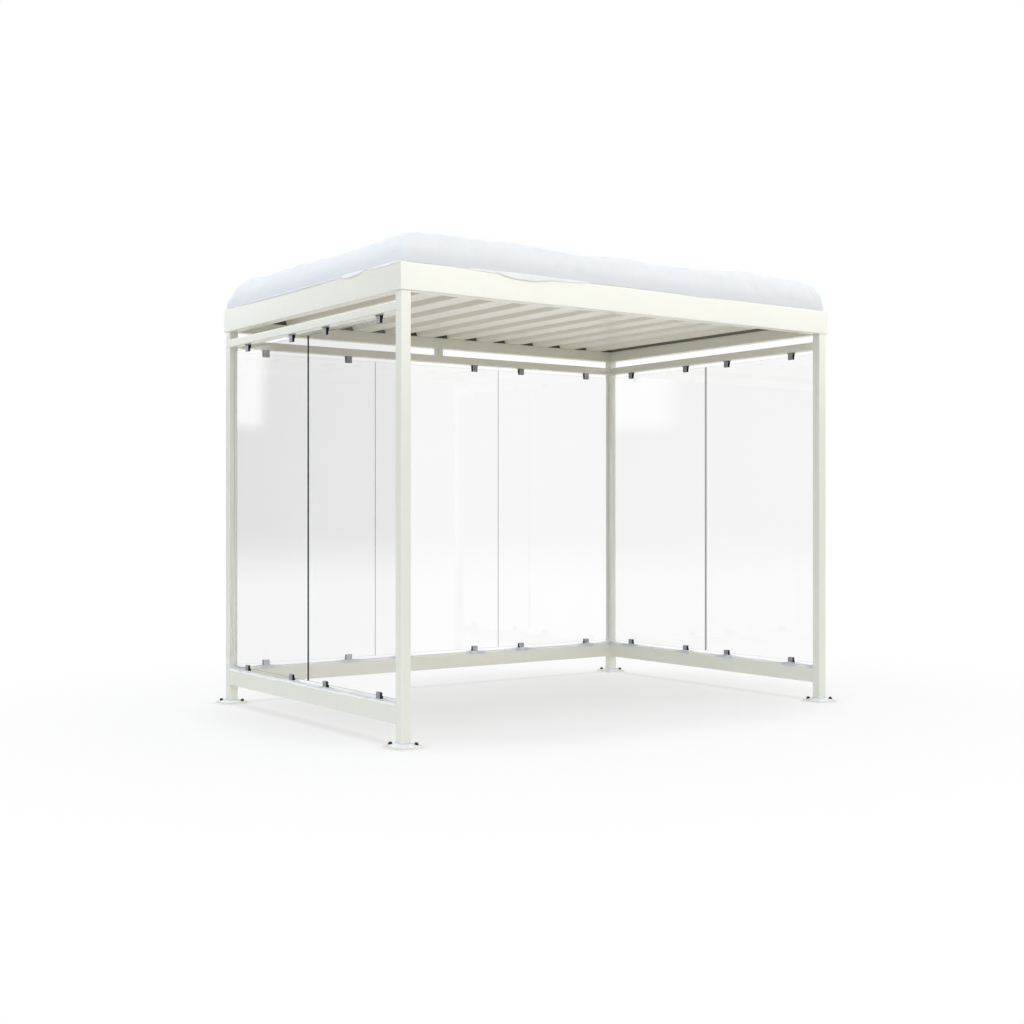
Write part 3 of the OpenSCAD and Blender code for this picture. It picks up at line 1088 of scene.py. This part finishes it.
def make_foot_snow(centre):
    """Snow on a base plate: a low mound round the post that thins out to the plate's edge."""
    seed = 3.0 + math.copysign(1, centre.x) + 2.5 * math.copysign(1, centre.y)
    tops, lows, pile_shades = [], [], []
    for j in range(FOOT_SNOW_SIDES + 1):
        a = 2 * math.pi * (j % FOOT_SNOW_SIDES) / FOOT_SNOW_SIDES
        d = Vector((math.cos(a), math.sin(a), 0))
        # From the post's square side to the plate's, both with rounded corners
        square = 1 / max(abs(d.x), abs(d.y))
        inner = (POST / 2 + 0.0002) * min(square, 1.32)
        rim = (PLATE / 2 - 0.004) * (1 + 0.03 * wobble(d.x, d.y, 0, 2.4, seed))
        outer = rim * min(square, 1.36)
        top, low, pile_shade = [], [], []
        for k in range(FOOT_SNOW_RINGS + 1):
            t = k / FOOT_SNOW_RINGS
            r = inner + (outer - inner) * t
            rise = 0.0024 + 0.012 * math.exp(-t * (outer - inner) / 0.016)
            rise *= 1 + 0.35 * wobble(d.x * r, d.y * r, 0, 30.0, seed)
            rise *= (1 - t**6) ** 0.5
            top.append(centre + d * r + Vector((0, 0, rise + 0.0002)))
            low.append(centre + d * r - Vector((0, 0, 0.0005)))
            # Painted bluish shade round the post, where shade falls at its foot
            pile_shade.append(math.exp(-((t / 0.22) ** 2)))
        tops.append(top)
        lows.append(low)
        pile_shades.append(pile_shade)
    bm = bmesh.new()
    add_crust(bm, tops, lows, pile_shades, capped=False)
    bmesh.ops.remove_doubles(bm, verts=list(bm.verts), dist=0.00001)
    tidy_faces(bm)
    return bm


for name, foot in FEET.items():
    piece(f"foot_snow_{name}", make_foot_snow(foot), (CRUST,), sharp=80)


# ---------------------------------------------------------------- floor, world and camera
FLOOR_FAR = 80.0  # half the floor's side
FLOOR_GLOW = 0.10  # how much of the floor's plain white also lights the shelter
CONTACT = 6.0  # strength of the contact shade on the floor
CONTACT_REACH = 1.1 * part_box("bottom_rail_back")[0].z  # a bit more than the gap under a rail
UNDER_ROOF = (EAVES_X - 1.0, EAVES_Y - 1.0, 0.0)  # half the rectangle that the shade fades out from
WHITE = rgb(1.0, 1.0, 1.0)


def make_floor():
    """A white floor that keeps the object's shadow and melts into the background."""
    mesh = bpy.data.meshes.new("floor")
    corners = [(x * FLOOR_FAR, y * FLOOR_FAR, 0) for x, y in ((-1, -1), (1, -1), (1, 1), (-1, 1))]
    mesh.from_pydata(corners, [], [(0, 1, 2, 3)])
    floor = bpy.data.objects.new("floor", mesh)
    scene.collection.objects.link(floor)
    made = bpy.data.materials.new("floor_white")
    g = Graph(made)
    # Distance out from a rectangle under the middle of the roof
    place = g.node("ShaderNodeTexCoord").outputs["Object"]
    out = g.vector_math("SUBTRACT", g.vector_math("ABSOLUTE", place), UNDER_ROOF)
    away = g.vector_math("LENGTH", g.vector_math("MAXIMUM", out, (0, 0, 0)), output="Value")
    seen, by_gloss = ray_kinds(g)
    # Light that the ground sends up: white close by, dimmer and warmer far off
    bounce = g.mix(g.ramp(away, 2.0, 8.0), rgb(0.925, 0.87, 0.775), rgb(0.57, 0.52, 0.43))
    # What is seen of the floor: a painted shadow, darker under the roof and lighter farther out
    plain = g.mix(g.ramp(away, 1.0, 1.75), rgb(0.76, 0.75, 0.74), rgb(1.05, 1.04, 1.03))
    # Soft contact shade on what is seen, under the rails and beside the feet
    nook = g.node("ShaderNodeAmbientOcclusion", Distance=CONTACT_REACH)
    nook.samples = 8
    open_share = g.math("POWER", nook.outputs["AO"], CONTACT)
    plain = g.scaled(plain, open_share)
    soft = g.node("ShaderNodeBsdfDiffuse", Color=g.mix(seen, bounce, plain))
    glow = g.node("ShaderNodeEmission", Color=WHITE, Strength=1.0)
    # Share of plain white in what is seen, and a little of it in what lights the shelter
    share = g.math("MULTIPLY", g.ramp(away, -4.7, 4.6), g.math("MAXIMUM", seen, FLOOR_GLOW))
    lit = g.mix_shaders(share, soft.outputs[0], glow.outputs[0])
    # Gloss sees the world's ground instead
    clear = g.node("ShaderNodeBsdfTransparent").outputs[0]
    out = g.node("ShaderNodeOutputMaterial")
    g.put(out.inputs[0], g.mix_shaders(by_gloss, lit, clear))
    mesh.materials.append(made)


def make_world():
    """An even sky that lights the object, and a white background wherever it is seen."""
    world = bpy.data.worlds.new("studio")
    scene.world = world
    g = Graph(world)
    way = g.node("ShaderNodeTexCoord").outputs["Generated"]
    x, y, z = g.node("ShaderNodeSeparateXYZ", Vector=way).outputs
    # Light: brighter from the front and the left, cooler from the left, dim at the horizon
    low = g.math("SUBTRACT", 1.0, g.math("MAXIMUM", z, 0.0))
    front = g.math("ADD", g.math("MULTIPLY", x, 0.35), g.math("MULTIPLY", y, -0.94), clamp=True)
    left = g.math("MULTIPLY", x, -1.0, clamp=True)
    dome = g.math("ADD", 0.62, g.math("MULTIPLY", low, 0.45))
    lobe = g.math("MULTIPLY", front, g.math("POWER", low, 2.0))
    dome = g.math("ADD", dome, g.math("MULTIPLY", lobe, 0.72))
    dome = g.math("ADD", dome, g.math("MULTIPLY", left, 0.36))
    dome = g.math("MULTIPLY", dome, g.ramp(z, -0.02, 0.12, 0.75, 1.0))
    dome = g.scaled(g.mix(left, WHITE, rgb(0.90, 1.0, 1.10)), dome)
    # What glass and gloss show above the horizon, in front of the shelter and behind it
    sky_front = g.ramp(z, 0.09, 0.16, 0.35, 9.0)
    panel = g.math("MULTIPLY", g.ramp(x, -0.675, -0.655), g.ramp(x, -0.62, -0.61, 1.0, 0.0))
    wide_panel = g.math("MULTIPLY", g.ramp(x, -0.436, -0.424), g.ramp(x, -0.2, 0.0, 1.0, 0.0))
    bright = g.math("ADD", g.ramp(z, 0.052, 0.066, 0.0, 0.9), g.ramp(z, 0.11, 0.16, 0.0, 3.5))
    panels = g.math("MULTIPLY", g.math("ADD", panel, wide_panel), bright)
    sky_back = g.math("ADD", g.ramp(z, 0.10, 0.16, 0.2, 0.5), panels)
    sky = g.ramp(y, -0.2, 0.2, sky_front, sky_back)
    ground = g.ramp(y, -0.2, 0.2, 1.0, g.ramp(x, 0.0, 0.3, 0.7, 1.15))
    gloss = g.ramp(z, -0.055, -0.010, ground, sky)
    seen, by_gloss = ray_kinds(g)
    back = g.node("ShaderNodeBackground", Color=g.mix(seen, g.mix(by_gloss, dome, gloss), WHITE))
    g.node("ShaderNodeOutputWorld", Surface=back.outputs[0])


def make_camera():
    """The photo's camera: level, a little below eye height, in front of the left front corner."""
    data = bpy.data.cameras.new("camera")
    data.lens = 50.0
    data.sensor_width = 36.0
    camera = bpy.data.objects.new("camera", data)
    camera.location = (-5.4626, -7.4947, 1.2366)
    camera.rotation_euler = (math.radians(90), 0, math.radians(-35.48))
    scene.collection.objects.link(camera)
    scene.camera = camera


make_floor()
make_world()
make_camera()
scene.view_settings.view_transform = "Standard"
